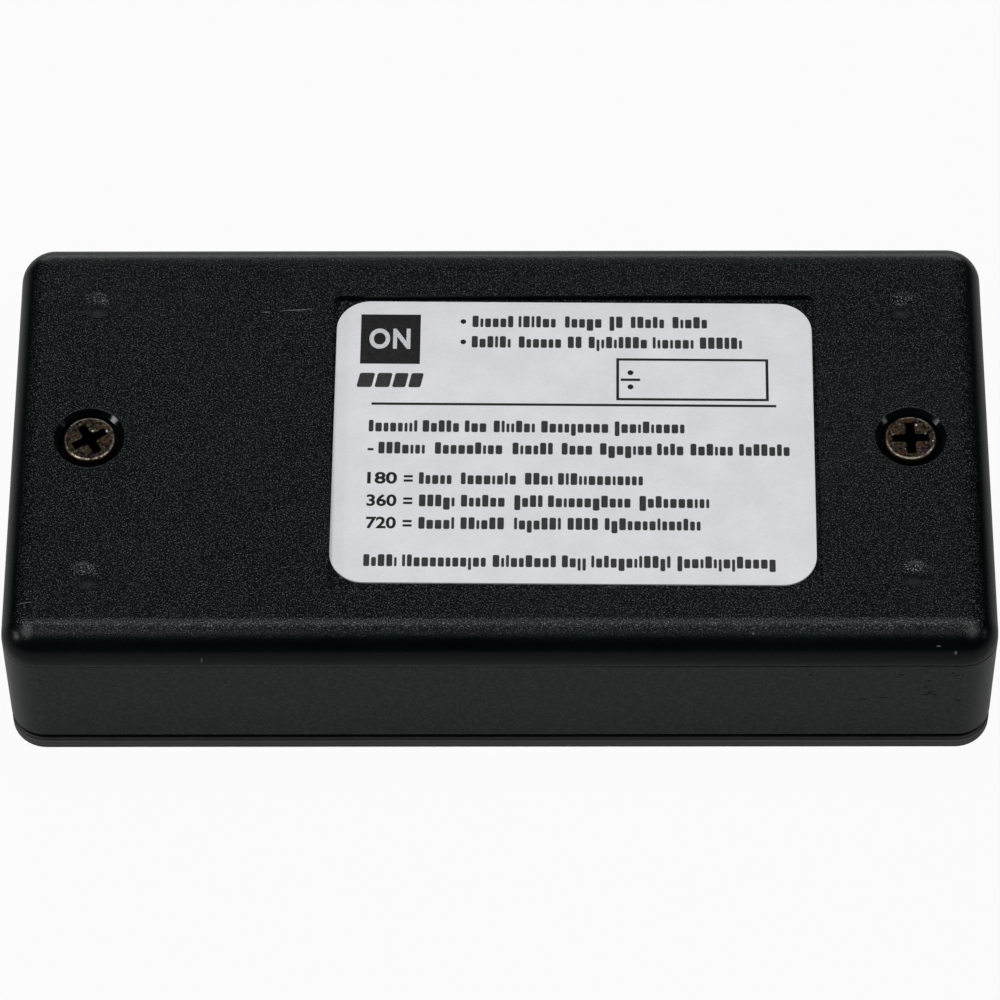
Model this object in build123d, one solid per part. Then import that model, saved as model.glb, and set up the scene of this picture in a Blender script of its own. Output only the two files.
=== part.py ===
from build123d import *
import os

# Small engine tachometer, in millimetres. It lies on its front face, which is at z = 0,
# so +Z points out of its labelled back. +X runs along its length and the origin is at
# the middle of the front face.

# Case
case_length = 100.0
case_width = 50.0
case_height = 20.0
corner_radius = 3.6
back_edge_radius = 3.4
draft_angle = 0.25
wall = 2.2
back_wall = 2.2
inner_edge_radius = 1.2

# Joint between the front cover and the rear shell
cover_plate = 2.0
cover_edge_radius = 0.6
rim_edge_radius = 0.3
shadow_gap = 1.0
rebate_width = 1.1
rebate_height = 1.5
lip_clearance = 0.1

# Case screws, their wells and their bosses
fixing_inset = 8.2
well_radius = 3.1
well_chamfer = 0.5
well_depth = 2.2
head_boss_radius = 4.8
head_boss_depth = 2.0
boss_radius = 3.5
cover_boss_height = 7.0
screw_radius = 1.45
screw_hole_clearance = 0.15
thread_clearance = 0.05
screw_engagement = 3.9
screw_tip_room = 1.0
screw_tip_length = 1.2
head_radius = 2.7
head_height = 2.05
head_rim_height = 1.75
left_screw_turn = 30.0
right_screw_turn = 2.0
gusset_thickness = 1.2

# Screw head forms, as shares of the head's own radius and height
head_flat_share = 0.88
screw_tip_share = 0.3
cross_arm_share = 0.7
cross_width_share = 0.34
cross_depth_share = 0.6
cross_taper_share = 0.55
cross_centre_share = 0.3

# Locating posts in the corners, with a pin on each cover post
post_side_inset = 8.5
post_radius = 2.3
cover_post_height = 4.0
pin_radius = 1.0
pin_length = 2.5
pin_clearance = 0.1
pin_end_room = 0.5
pin_chamfer = 0.3
sink_radius = 1.6
sink_depth = 0.15

# Label and its recess
recess_length = 49.6
recess_width = 36.0
recess_depth = 0.8
recess_corner_radius = 0.7
recess_x = 7.6
recess_y = -0.4
label_side_gap = 0.3
label_end_gap = 0.85
label_shift_x = -0.1
label_shift_y = 0.37
label_thickness = 0.2
label_corner_radius = 3.5
label_turn = -0.53
ink_thickness = 0.02
ink_line = 0.28
badge_size = 6.15
badge_side_inset = 2.5
badge_top_inset = 1.65
divider_length = 41.4
divider_top_inset = 12.75
readout_length = 15.6
readout_width = 5.2
readout_side_inset = 4.55
readout_top_inset = 6.95

# Display window
window_ledge = 2.0
window_thickness = 1.0
window_recess = 0.1
window_clearance = 0.1
window_corner_radius = 1.5
window_edge_chamfer = 0.15
adhesive_thickness = 0.1
adhesive_margin = 0.4

# Circuit board, its standoffs and its screws
board_end_room = 14.0
board_side_room = 4.0
board_thickness = 1.6
board_corner_radius = 1.0
standoff_height = 4.4
standoff_radius = 2.5
standoff_end_inset = 3.0
standoff_side_inset = 3.5
board_screw_radius = 1.0
board_screw_grip = 3.0
board_screw_head_radius = 2.0
board_screw_head_height = 1.3
board_screw_head_chamfer = 0.5
board_hole_clearance = 0.2

# Display
display_end_inset = 3.0
display_gap = 0.7
frame_side_gap = 1.0
frame_wall = 1.8
frame_rib = 1.0
display_clearance = 0.1
contact_ledge = 3.4
view_end_margin = 2.2
view_side_margin = 0.9
glass_thickness = 1.1
polarizer_thickness = 0.2
reflector_thickness = 0.2

# Button and its guide
button_inset = 8.0
button_size = 9.0
button_corner_radius = 1.2
button_clearance = 0.15
button_recess = 0.4
button_dish_depth = 0.35
button_edge_radius = 0.3
button_flange = 1.5
button_flange_thickness = 0.8
button_travel = 0.3
collar_clearance = 0.3
collar_wall = 1.0
collar_room = 0.4

# Switch behind the button
switch_size = 6.0
switch_base_height = 2.2
switch_plate_thickness = 0.3
switch_cavity_radius = 2.3
switch_cavity_depth = 1.2
plunger_radius = 1.6
plunger_clearance = 0.08
plunger_flange_radius = 2.1
plunger_flange_thickness = 0.5
plunger_nub_radius = 0.8
dome_rim_radius = 1.9
dome_rise = 0.4
dome_thickness = 0.08
switch_leg_width = 0.7
switch_leg_thickness = 0.2
switch_leg_foot = 1.2
switch_leg_height = 1.2
switch_leg_spacing = 4.5

# Coin cell and its holder
cell_radius = 10.0
cell_thickness = 3.2
cell_edge_chamfer = 0.35
cell_cup_step = 0.6
cell_clearance = 0.2
holder_wall = 1.6
holder_floor = 0.8
holder_lip = 0.4
battery_inset = 15.5
battery_y = -5.0
contact_width = 4.0
contact_thickness = 0.2
contact_tail = 3.0
clip_width = 5.0
clip_thickness = 0.4
clip_foot = 1.6
clip_clearance = 0.3

# Pickup coil
pickup_end_inset = 21.0
pickup_side_inset = 8.0
pickup_size = 7.6
pickup_length = 26.0
pickup_flange = 1.2
core_radius = 2.0
core_length = 30.0
core_chamfer = 0.4
core_clearance = 0.05
bobbin_wall = 0.6
winding_depth = 0.65
tab_width = 1.2
tab_length = 1.5
tab_height = 1.5
tab_thickness = 0.3
tab_spacing = 5.0

# Chips on the back of the board
controller_end_inset = 24.0
controller_y = -6.0
controller_size = 10.0
controller_thickness = 1.4
controller_standoff = 0.15
controller_chamfer = 0.2
lead_count = 11
lead_pitch = 0.8
lead_width = 0.36
lead_thickness = 0.14
lead_reach = 1.2
lead_shoulder = 0.4
crystal_end_inset = 11.0
crystal_y = -3.0
crystal_length = 11.0
crystal_width = 4.6
crystal_height = 3.4
crystal_flange = 0.4
crystal_flange_thickness = 0.4
capacitor_end_inset = 9.0
capacitor_side_inset = 7.0
capacitor_radius = 2.5
capacitor_height = 5.4
capacitor_base = 5.3
capacitor_base_height = 0.8
capacitor_base_chamfer = 0.9
capacitor_crimp = 0.25
capacitor_edge_chamfer = 0.4
chip_length = 1.6
chip_width = 0.8
chip_height = 0.5
chip_pitch = 2.6
resistor_count = 5
resistor_side_inset = 5.0
chip_capacitor_count = 4
chip_capacitor_rise = 10.0

# Levels, from the front face up
shell_base = cover_plate + shadow_gap
lip_top = shell_base + rebate_height
inner_back = case_height - back_wall
boss_joint = cover_plate + cover_boss_height
screw_seat = case_height - well_depth
screw_length = screw_seat - boss_joint + screw_engagement
post_joint = cover_plate + cover_post_height
recess_floor = case_height - recess_depth
label_top = recess_floor + label_thickness
board_front = cover_plate + standoff_height
board_back = board_front + board_thickness
window_seat = window_recess + window_thickness + adhesive_thickness
button_back = cover_plate + button_flange_thickness

# Places seen in plan
fixing_x = case_length / 2 - fixing_inset
post_y = case_width / 2 - post_side_inset
board_length = case_length - 2 * board_end_room
board_width = case_width - 2 * board_side_room
board_end = board_length / 2
board_side = board_width / 2
standoff_x = board_end - standoff_end_inset
standoff_y = board_side - standoff_side_inset
button_x = board_end - button_inset
flange_size = button_size + 2 * button_flange - 2 * button_clearance
collar_inner = flange_size + 2 * collar_clearance
collar_outer = collar_inner + 2 * collar_wall

# Display, which fills the room between the board's end, the standoffs and the button
frame_left = display_end_inset - board_end
frame_right = button_x - collar_outer / 2 - display_gap
frame_length = frame_right - frame_left
frame_width = 2 * (standoff_y - standoff_radius - frame_side_gap)
display_x = (frame_left + frame_right) / 2
glass_length = frame_length - 2 * frame_wall - 2 * display_clearance
glass_width = frame_width - 2 * frame_wall - 2 * display_clearance
rear_glass_width = glass_width - 2 * contact_ledge
view_length = glass_length - 2 * view_end_margin
view_width = rear_glass_width - 2 * view_side_margin
pocket_length = view_length + 2 * window_ledge
pocket_width = view_width + 2 * window_ledge
polarizer_back = cover_plate + polarizer_thickness
front_glass_back = polarizer_back + glass_thickness
rear_glass_back = front_glass_back + glass_thickness

# Switch levels, which are measured from the board it is soldered to
switch_face = board_front - switch_base_height
dome_floor = switch_face + switch_cavity_depth
dome_apex = dome_floor - dome_rise

label_length = recess_length - 2 * label_side_gap
label_width = recess_width - 2 * label_end_gap

battery_x = battery_inset - board_end
cell_base = board_back + holder_floor + contact_thickness
cell_top = cell_base + cell_thickness
holder_radius = cell_radius + cell_clearance + holder_wall

pickup_x = board_end - pickup_end_inset
pickup_y = board_side - pickup_side_inset
pickup_axis_z = board_back + pickup_size / 2
bobbin_tube_radius = core_radius + core_clearance + bobbin_wall

controller_x = board_end - controller_end_inset
crystal_x = board_end - crystal_end_inset
capacitor_x = board_end - capacitor_end_inset
capacitor_y = capacitor_side_inset - board_side
resistor_y = resistor_side_inset - board_side


def plate(length, width, radius, low, high, x=0.0, y=0.0, taper=0.0):
    """A rounded rectangle raised from one level to another."""
    outline = Pos(x, y, low) * RectangleRounded(length, width, radius)
    return extrude(outline, amount=high - low, taper=taper)


def block(length, width, low, high, x=0.0, y=0.0):
    """A square-cornered block between two levels."""
    return Pos(x, y, (low + high) / 2) * Box(length, width, high - low)


def disc(radius, low, high, x=0.0, y=0.0):
    """An upright cylinder between two levels."""
    return Pos(x, y, (low + high) / 2) * Cylinder(radius, high - low)


def turned(points):
    """A solid of revolution about Z, from its half section as (radius, height) points."""
    section = make_face(Polyline([(radius, 0, height) for radius, height in points], close=True))
    return revolve(section, Axis.Z)


def top_edges(solid):
    """The edges of a solid's highest flat face."""
    return solid.faces().filter_by(Axis.Z).sort_by(Axis.Z)[-1].outer_wire().edges()


def bottom_edges(solid):
    """The edges of a solid's lowest flat face."""
    return solid.faces().filter_by(Axis.Z).sort_by(Axis.Z)[0].outer_wire().edges()


def spots(x, y):
    """The four places at plus and minus x and y."""
    return [(side * x, end * y) for side in (-1, 1) for end in (-1, 1)]


def rear_shell():
    """The deep back shell: drafted walls, rolled edge, recess, wells, bosses and posts."""
    body = plate(case_length, case_width, corner_radius, shell_base, case_height, taper=draft_angle)
    body = fillet(top_edges(body), back_edge_radius)
    cavity = plate(
        case_length - 2 * wall, case_width - 2 * wall, corner_radius - wall,
        shell_base, inner_back, taper=draft_angle,
    )
    body -= fillet(top_edges(cavity), inner_edge_radius)
    body -= plate(
        case_length - 2 * rebate_width, case_width - 2 * rebate_width, corner_radius - rebate_width,
        shell_base, lip_top,
    )
    body += shell_bosses()
    body += shell_posts()
    body -= plate(
        recess_length, recess_width, recess_corner_radius,
        recess_floor, case_height, recess_x, recess_y,
    )
    for side in (-1, 1):
        body -= screw_well(side * fixing_x)
    for x, y in spots(fixing_x, post_y):
        body -= disc(
            pin_radius + pin_clearance, post_joint, post_joint + pin_length + pin_end_room, x, y
        )
        body -= sink_mark(x, y)
    return body


def shell_bosses():
    """The two screw bosses under the wells, each with gussets to the walls beside it."""
    bosses = []
    for side in (-1, 1):
        x = side * fixing_x
        bosses.append(disc(boss_radius, boss_joint, inner_back, x))
        bosses.append(disc(head_boss_radius, inner_back - head_boss_depth, inner_back, x))
        reach = fixing_inset - wall / 2
        bosses.append(
            block(reach, gusset_thickness, boss_joint, inner_back, x + side * reach / 2)
        )
    return bosses


def shell_posts():
    """The four corner posts, each tied to the end wall and the side wall by a rib."""
    posts = []
    for x, y in spots(fixing_x, post_y):
        posts.append(disc(post_radius, post_joint, inner_back, x, y))
        end_reach = fixing_inset - wall / 2
        side_reach = post_side_inset - wall / 2
        end_sign = 1 if x > 0 else -1
        side_sign = 1 if y > 0 else -1
        posts.append(
            block(end_reach, gusset_thickness, boss_joint, inner_back, x + end_sign * end_reach / 2, y)
        )
        posts.append(
            block(gusset_thickness, side_reach, boss_joint, inner_back, x, y + side_sign * side_reach / 2)
        )
    return posts


def screw_well(x):
    """The sunk well for one screw: a chamfered mouth, the head's seat and the shank's hole."""
    well = turned([
        (0, boss_joint),
        (screw_radius + screw_hole_clearance, boss_joint),
        (screw_radius + screw_hole_clearance, screw_seat),
        (well_radius, screw_seat),
        (well_radius, case_height - well_chamfer),
        (well_radius + well_chamfer, case_height),
        (0, case_height),
    ])
    return Pos(x, 0, 0) * well


def sink_mark(x, y):
    """The shallow dimple that the plastic draws in over a post as it cools."""
    ball_radius = (sink_radius**2 + sink_depth**2) / (2 * sink_depth)
    return Pos(x, y, case_height - sink_depth + ball_radius) * Sphere(ball_radius)


def front_cover():
    """The thin front cover: rim, lip, bosses, posts, standoffs, window and button guide."""
    body = plate(case_length, case_width, corner_radius, 0, cover_plate)
    body = fillet(bottom_edges(body), cover_edge_radius)
    body = fillet(top_edges(body), rim_edge_radius)
    body += cover_lip()
    for side in (-1, 1):
        body += disc(boss_radius, cover_plate, boss_joint, side * fixing_x)
        pilot_floor = screw_seat - screw_length - screw_tip_room
        body -= disc(screw_radius + thread_clearance, pilot_floor, boss_joint, side * fixing_x)
    for x, y in spots(fixing_x, post_y):
        body += disc(post_radius, cover_plate, post_joint, x, y)
        body += locating_pin(x, y)
    for x, y in spots(standoff_x, standoff_y):
        body += disc(standoff_radius, cover_plate, board_front, x, y)
        grip_floor = board_front - board_screw_grip - board_screw_radius / 2
        body -= disc(board_screw_radius + thread_clearance, grip_floor, board_front, x, y)
    body -= plate(pocket_length, pocket_width, window_corner_radius, 0, window_seat, display_x)
    body -= block(view_length, view_width, window_seat, cover_plate, display_x)
    body += button_collar()
    body -= plate(button_size, button_size, button_corner_radius, 0, cover_plate, button_x)
    return body


def cover_lip():
    """The lip that stands inside the shell's rebate and closes the shadow line."""
    outer_inset = rebate_width + lip_clearance
    outer = plate(
        case_length - 2 * outer_inset, case_width - 2 * outer_inset, corner_radius - outer_inset,
        cover_plate, lip_top,
    )
    inner = plate(
        case_length - 2 * wall, case_width - 2 * wall, corner_radius - wall, cover_plate, lip_top
    )
    return outer - inner


def locating_pin(x, y):
    """The pin on a cover post, with a chamfered end, that enters the shell's post."""
    pin_top = post_joint + pin_length
    pin = disc(pin_radius, post_joint, pin_top, x, y)
    return chamfer(top_edges(pin), pin_chamfer)


def button_collar():
    """The square collar round the button's flange, which keeps the button upright."""
    collar_top = button_back + button_travel + collar_room
    outer_radius = button_corner_radius + button_flange + collar_clearance + collar_wall
    outer = plate(collar_outer, collar_outer, outer_radius, cover_plate, collar_top, button_x)
    inner = plate(
        collar_inner, collar_inner, outer_radius - collar_wall, cover_plate, collar_top, button_x
    )
    return outer - inner


def pan_head_screw(shank_radius, shank_length, tip_length, radius, height, rim_height):
    """A pan head screw with its seat at z = 0 and its shank below."""
    flat_radius = radius * head_flat_share
    crown = TangentArc((flat_radius, 0, height), (radius, 0, rim_height), tangent=(1, 0, 0))
    outline = Polyline([
        (flat_radius, 0, height),
        (0, 0, height),
        (0, 0, -shank_length),
        (shank_radius * screw_tip_share, 0, -shank_length),
        (shank_radius, 0, tip_length - shank_length),
        (shank_radius, 0, 0),
        (radius, 0, 0),
        (radius, 0, rim_height),
    ])
    return revolve(make_face((crown + outline).edges()), Axis.Z)


def cross_recess(radius, height, turn):
    """The tapered slots and central cone of a cross recess, opening at the top of a screw head."""
    arms = 2 * radius * cross_arm_share
    width = radius * cross_width_share
    floor_height = height * (1 - cross_depth_share)
    slots = []
    for angle in (turn, turn + 90):
        mouth = Pos(0, 0, height) * Rectangle(arms, width)
        floor = Pos(0, 0, floor_height) * Rectangle(arms * cross_taper_share, width * cross_taper_share)
        slots.append(Rot(0, 0, angle) * loft([floor, mouth]))
    centre = radius * cross_centre_share
    return slots + [turned([
        (0, floor_height),
        (centre * cross_taper_share, floor_height),
        (centre, height),
        (0, height),
    ])]


def case_screws():
    """The two screws that close the case, each turned as it was left."""
    screws = []
    for side, turn in ((-1, left_screw_turn), (1, right_screw_turn)):
        screw = pan_head_screw(
            screw_radius, screw_length, screw_tip_length, head_radius, head_height, head_rim_height
        )
        for cut in cross_recess(head_radius, head_height, turn):
            screw -= cut
        screws.append(Pos(side * fixing_x, 0, screw_seat) * screw)
    return screws


def on_label(shape):
    """Moves a shape drawn about the label's middle to where the label lies."""
    return Pos(recess_x + label_shift_x, recess_y + label_shift_y, 0) * Rot(0, 0, label_turn) * shape


def instruction_label():
    """The white label, stuck a little askew on the floor of its recess."""
    return on_label(plate(label_length, label_width, label_corner_radius, recess_floor, label_top))


def label_print():
    """The ink on the label: a solid badge, a dividing line and the outline of a readout."""
    ink_top = label_top + ink_thickness
    badge_x = badge_side_inset + badge_size / 2 - label_length / 2
    badge_y = label_width / 2 - badge_top_inset - badge_size / 2
    divider_y = label_width / 2 - divider_top_inset
    readout_x = label_length / 2 - readout_side_inset - readout_length / 2
    readout_y = label_width / 2 - readout_top_inset - readout_width / 2
    outline = block(readout_length, readout_width, label_top, ink_top, readout_x, readout_y)
    outline -= block(
        readout_length - 2 * ink_line, readout_width - 2 * ink_line,
        label_top, ink_top, readout_x, readout_y,
    )
    return [
        on_label(block(badge_size, badge_size, label_top, ink_top, badge_x, badge_y)),
        on_label(block(divider_length, ink_line, label_top, ink_top, 0, divider_y)),
        on_label(outline),
    ]


def display_window():
    """The clear window, set just below the front face in its pocket."""
    lens = plate(
        pocket_length - 2 * window_clearance, pocket_width - 2 * window_clearance,
        window_corner_radius - window_clearance, window_recess, window_recess + window_thickness, display_x,
    )
    return chamfer(bottom_edges(lens), window_edge_chamfer)


def window_adhesive():
    """The ring of adhesive that holds the window to the floor of its pocket."""
    back_of_window = window_recess + window_thickness
    outer = plate(
        pocket_length - 2 * adhesive_margin, pocket_width - 2 * adhesive_margin,
        window_corner_radius - adhesive_margin, back_of_window, window_seat, display_x,
    )
    inner = block(
        view_length + 2 * adhesive_margin, view_width + 2 * adhesive_margin,
        back_of_window, window_seat, display_x,
    )
    return outer - inner


def lcd_frame():
    """The frame that holds the display's glass and keeps the rubber connectors upright."""
    body = block(frame_length, frame_width, cover_plate, board_front, display_x)
    body -= block(
        frame_length - 2 * frame_wall, frame_width - 2 * frame_wall, cover_plate, board_front, display_x
    )
    rib_front = front_glass_back + display_clearance
    rib_length = frame_length - 2 * frame_wall
    for side in (-1, 1):
        rib_y = side * (rear_glass_width / 2 + display_clearance + frame_rib / 2)
        body += block(rib_length, frame_rib, rib_front, board_front, display_x, rib_y)
    return body


def lcd_front_polarizer():
    """The film on the viewed side of the display."""
    return block(glass_length, rear_glass_width, cover_plate, polarizer_back, display_x)


def lcd_front_glass():
    """The display's front glass, whose long edges carry the contacts."""
    return block(glass_length, glass_width, polarizer_back, front_glass_back, display_x)


def lcd_rear_glass():
    """The display's narrower rear glass."""
    return block(glass_length, rear_glass_width, front_glass_back, rear_glass_back, display_x)


def lcd_reflector():
    """The silvered film on the back of the display."""
    return block(
        glass_length, rear_glass_width, rear_glass_back, rear_glass_back + reflector_thickness, display_x
    )


def zebra_strip(side):
    """One striped rubber connector, pressed between the glass's ledge and the board."""
    rib_outer = rear_glass_width / 2 + display_clearance + frame_rib
    room = frame_width / 2 - frame_wall - rib_outer
    width = room - 2 * display_clearance
    y = side * (rib_outer + room / 2)
    return block(glass_length, width, front_glass_back, board_front, display_x, y)


def circuit_board():
    """The bare board, with a hole over each standoff."""
    board = plate(board_length, board_width, board_corner_radius, board_front, board_back)
    for x, y in spots(standoff_x, standoff_y):
        board -= disc(board_screw_radius + board_hole_clearance, board_front, board_back, x, y)
    return board


def board_screws():
    """The four small screws that hold the board to its standoffs."""
    head_top = board_back + board_screw_head_height
    tip = board_back - board_thickness - board_screw_grip
    head_edge = board_screw_head_radius - board_screw_head_chamfer
    screw = turned([
        (0, tip),
        (board_screw_radius, tip),
        (board_screw_radius, board_back),
        (board_screw_head_radius, board_back),
        (board_screw_head_radius, head_top - board_screw_head_chamfer),
        (head_edge, head_top),
        (0, head_top),
    ])
    return [Pos(x, y, 0) * screw for x, y in spots(standoff_x, standoff_y)]


def on_button():
    """The button: a dished cap in the cover's opening, and the flange that keeps it in."""
    cap_size = button_size - 2 * button_clearance
    cap = plate(
        cap_size, cap_size, button_corner_radius - button_clearance, button_recess, cover_plate, button_x
    )
    cap = fillet(bottom_edges(cap), button_edge_radius)
    dish_radius = cap_size / 2 - button_edge_radius - button_dish_depth
    ball_radius = (dish_radius**2 + button_dish_depth**2) / (2 * button_dish_depth)
    cap -= Pos(button_x, 0, button_recess + button_dish_depth - ball_radius) * Sphere(ball_radius)
    flange_radius = button_corner_radius + button_flange
    return cap + plate(flange_size, flange_size, flange_radius, cover_plate, button_back, button_x)


def switch_base():
    """The switch's moulded base, with the round well that holds the dome."""
    body = block(switch_size, switch_size, switch_face, board_front, button_x)
    return body - disc(switch_cavity_radius, switch_face, dome_floor, button_x)


def switch_plate():
    """The metal plate over the switch's well, with the plunger's hole."""
    face = switch_face - switch_plate_thickness
    cover = block(switch_size, switch_size, face, switch_face, button_x)
    return cover - disc(plunger_radius + plunger_clearance, face, switch_face, button_x)


def switch_plunger():
    """The plunger between the button and the dome, kept in by its own flange."""
    flange_back = switch_face + plunger_flange_thickness
    plunger = turned([
        (0, button_back),
        (plunger_radius, button_back),
        (plunger_radius, switch_face),
        (plunger_flange_radius, switch_face),
        (plunger_flange_radius, flange_back),
        (plunger_nub_radius, flange_back),
        (plunger_nub_radius, dome_apex),
        (0, dome_apex),
    ])
    return Pos(button_x, 0, 0) * plunger


def snap_dome():
    """The thin sprung dome that the plunger flattens."""
    ball_radius = (dome_rim_radius**2 + dome_rise**2) / (2 * dome_rise)
    middle = Pos(button_x, 0, dome_apex + ball_radius)
    cap = disc(dome_rim_radius, dome_apex, dome_floor, button_x) & (middle * Sphere(ball_radius))
    return cap - middle * Sphere(ball_radius - dome_thickness)


def switch_legs():
    """The switch's four bent legs, soldered flat to the board."""
    legs = []
    for side in (-1, 1):
        face_x = button_x + side * switch_size / 2
        for y in (-switch_leg_spacing / 2, switch_leg_spacing / 2):
            riser = block(
                switch_leg_thickness, switch_leg_width, board_front - switch_leg_height, board_front,
                face_x + side * switch_leg_thickness / 2, y,
            )
            foot = block(
                switch_leg_foot, switch_leg_width, board_front - switch_leg_thickness, board_front,
                face_x + side * switch_leg_foot / 2, y,
            )
            legs.append(riser + foot)
    return legs


def battery_holder():
    """The round holder for the coin cell, notched where its contact comes out."""
    floor_top = board_back + holder_floor
    body = disc(holder_radius, board_back, cell_top - holder_lip, battery_x, battery_y)
    body -= disc(cell_radius + cell_clearance, floor_top, cell_top, battery_x, battery_y)
    notch_width = contact_width + 2 * cell_clearance
    return body - block(
        notch_width, holder_radius, floor_top, cell_top, battery_x, battery_y - holder_radius / 2
    )


def coin_cell():
    """The lithium coin cell: a wide can, stepped in at the cup on its lower side."""
    cup_radius = cell_radius - cell_cup_step
    cup_height = cell_cup_step
    cell = turned([
        (0, cell_base),
        (cup_radius, cell_base),
        (cup_radius, cell_base + cup_height),
        (cell_radius, cell_base + cup_height),
        (cell_radius, cell_top),
        (0, cell_top),
    ])
    return Pos(battery_x, battery_y, 0) * chamfer(top_edges(cell), cell_edge_chamfer)


def battery_contact():
    """The flat contact under the cell, stepped down to the board outside the holder."""
    strip_bottom = board_back + holder_floor
    strip_top = strip_bottom + contact_thickness
    reach = holder_radius + cell_clearance
    strip_length = reach + contact_tail
    strip_y = battery_y - reach + strip_length / 2
    strip = block(contact_width, strip_length, strip_bottom, strip_top, battery_x, strip_y)
    riser_y = battery_y - reach - contact_thickness / 2
    riser = block(contact_width, contact_thickness, board_back, strip_top, battery_x, riser_y)
    return strip + riser


def battery_clip():
    """The sprung strap over the cell, with a foot on the board at each end."""
    strap_top = cell_top + clip_thickness
    inner = holder_radius + clip_clearance
    outer = inner + clip_thickness
    clip = block(2 * outer, clip_width, cell_top, strap_top, battery_x, battery_y)
    for side in (-1, 1):
        leg_x = battery_x + side * (inner + outer) / 2
        clip += block(clip_thickness, clip_width, board_back, cell_top, leg_x, battery_y)
        foot_x = battery_x + side * (outer + clip_foot / 2)
        foot_top = board_back + clip_thickness
        clip += block(clip_foot, clip_width, board_back, foot_top, foot_x, battery_y)
    return clip


def along_coil(shape):
    """Lays a shape drawn about Z along the pickup coil's axis."""
    return Pos(pickup_x, pickup_y, pickup_axis_z) * Rot(0, 90, 0) * shape


def pickup_bobbin():
    """The square-flanged bobbin of the coil that senses the ignition."""
    end = pickup_length / 2
    body = disc(bobbin_tube_radius, -end, end)
    for side in (-1, 1):
        middle = side * (end - pickup_flange / 2)
        body += Pos(0, 0, middle) * Box(pickup_size, pickup_size, pickup_flange)
    return along_coil(body - disc(core_radius + core_clearance, -end, end))


def pickup_winding():
    """The wound copper wire, as one solid between the bobbin's flanges."""
    end = pickup_length / 2 - pickup_flange
    outer_radius = bobbin_tube_radius + winding_depth
    return along_coil(disc(outer_radius, -end, end) - disc(bobbin_tube_radius, -end, end))


def pickup_core():
    """The ferrite rod through the bobbin."""
    rod = disc(core_radius, -core_length / 2, core_length / 2)
    ends = top_edges(rod) + bottom_edges(rod)
    return along_coil(chamfer(ends, core_chamfer))


def pickup_tabs():
    """The coil's four solder tabs, two at each end of the bobbin."""
    tabs = []
    for side in (-1, 1):
        face_x = pickup_x + side * pickup_length / 2
        for y in (pickup_y - tab_spacing / 2, pickup_y + tab_spacing / 2):
            riser_x = face_x + side * tab_thickness / 2
            riser = block(tab_thickness, tab_width, board_back, board_back + tab_height, riser_x, y)
            foot_x = face_x + side * tab_length / 2
            foot = block(tab_length, tab_width, board_back, board_back + tab_thickness, foot_x, y)
            tabs.append(riser + foot)
    return tabs


def microcontroller():
    """The square chip that counts the pulses and drives the display."""
    low = board_back + controller_standoff
    body = block(
        controller_size, controller_size, low, low + controller_thickness, controller_x, controller_y
    )
    return chamfer(top_edges(body), controller_chamfer)


def controller_leads():
    """The chip's bent leads, in four rows."""
    shoulder_low = controller_standoff + controller_thickness / 2
    shoulder_top = shoulder_low + lead_thickness
    section = make_face(Polyline([
        (0, 0, shoulder_low),
        (0, 0, shoulder_top),
        (lead_shoulder, 0, shoulder_top),
        (lead_shoulder, 0, lead_thickness),
        (lead_reach, 0, lead_thickness),
        (lead_reach, 0, 0),
        (lead_shoulder - lead_thickness, 0, 0),
        (lead_shoulder - lead_thickness, 0, shoulder_low),
    ], close=True))
    lead = extrude(section, amount=lead_width / 2, both=True)
    leads = []
    for turn in (0, 90, 180, 270):
        for index in range(lead_count):
            offset = (index - (lead_count - 1) / 2) * lead_pitch
            place = Pos(controller_x, controller_y, board_back) * Rot(0, 0, turn)
            leads.append(place * Pos(controller_size / 2, offset, 0) * lead)
    return leads


def quartz_crystal():
    """The crystal's round-ended metal can on its flange."""
    place = Pos(crystal_x, crystal_y, board_back) * Rot(0, 0, 90)
    flange = extrude(SlotOverall(crystal_length, crystal_width), amount=crystal_flange_thickness)
    can_outline = SlotOverall(crystal_length - 2 * crystal_flange, crystal_width - 2 * crystal_flange)
    can = extrude(can_outline, amount=crystal_height)
    return place * (flange + chamfer(top_edges(can), crystal_flange))


def filter_capacitor():
    """The upright electrolytic capacitor: a crimped can on a square base."""
    base = extrude(Rectangle(capacitor_base, capacitor_base), amount=capacitor_base_height)
    cut_corners = base.edges().filter_by(Axis.Z).sort_by(Axis.X)[-2:]
    base = chamfer(cut_corners, capacitor_base_chamfer)
    crimp_low = capacitor_base_height + capacitor_crimp
    can = turned([
        (0, capacitor_base_height),
        (capacitor_radius, capacitor_base_height),
        (capacitor_radius, crimp_low),
        (capacitor_radius - capacitor_crimp, crimp_low + capacitor_crimp),
        (capacitor_radius, crimp_low + 2 * capacitor_crimp),
        (capacitor_radius, capacitor_height),
        (0, capacitor_height),
    ])
    can = chamfer(top_edges(can), capacitor_edge_chamfer)
    return Pos(capacitor_x, capacitor_y, board_back) * (base + can)


def chip_row(count, y):
    """A row of small chip parts beside the microcontroller."""
    top = board_back + chip_height
    chips = []
    for index in range(count):
        x = controller_x + (index - (count - 1) / 2) * chip_pitch
        chips.append(block(chip_length, chip_width, board_back, top, x, y))
    return chips


def chip_resistors():
    """The resistors, in a row on one side of the microcontroller."""
    return chip_row(resistor_count, resistor_y)


def chip_capacitors():
    """The small capacitors, in a row between the microcontroller and the coil."""
    return chip_row(chip_capacitor_count, controller_y + chip_capacitor_rise)


def save(name, shape):
    """Writes one node's solids to its own STEP file."""
    shapes = shape if isinstance(shape, list) else [shape]
    solids = [solid for item in shapes for solid in item.solids()]
    whole = solids[0] if len(solids) == 1 else Compound(solids)
    export_step(whole, f"parts/{name}.step")


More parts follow.
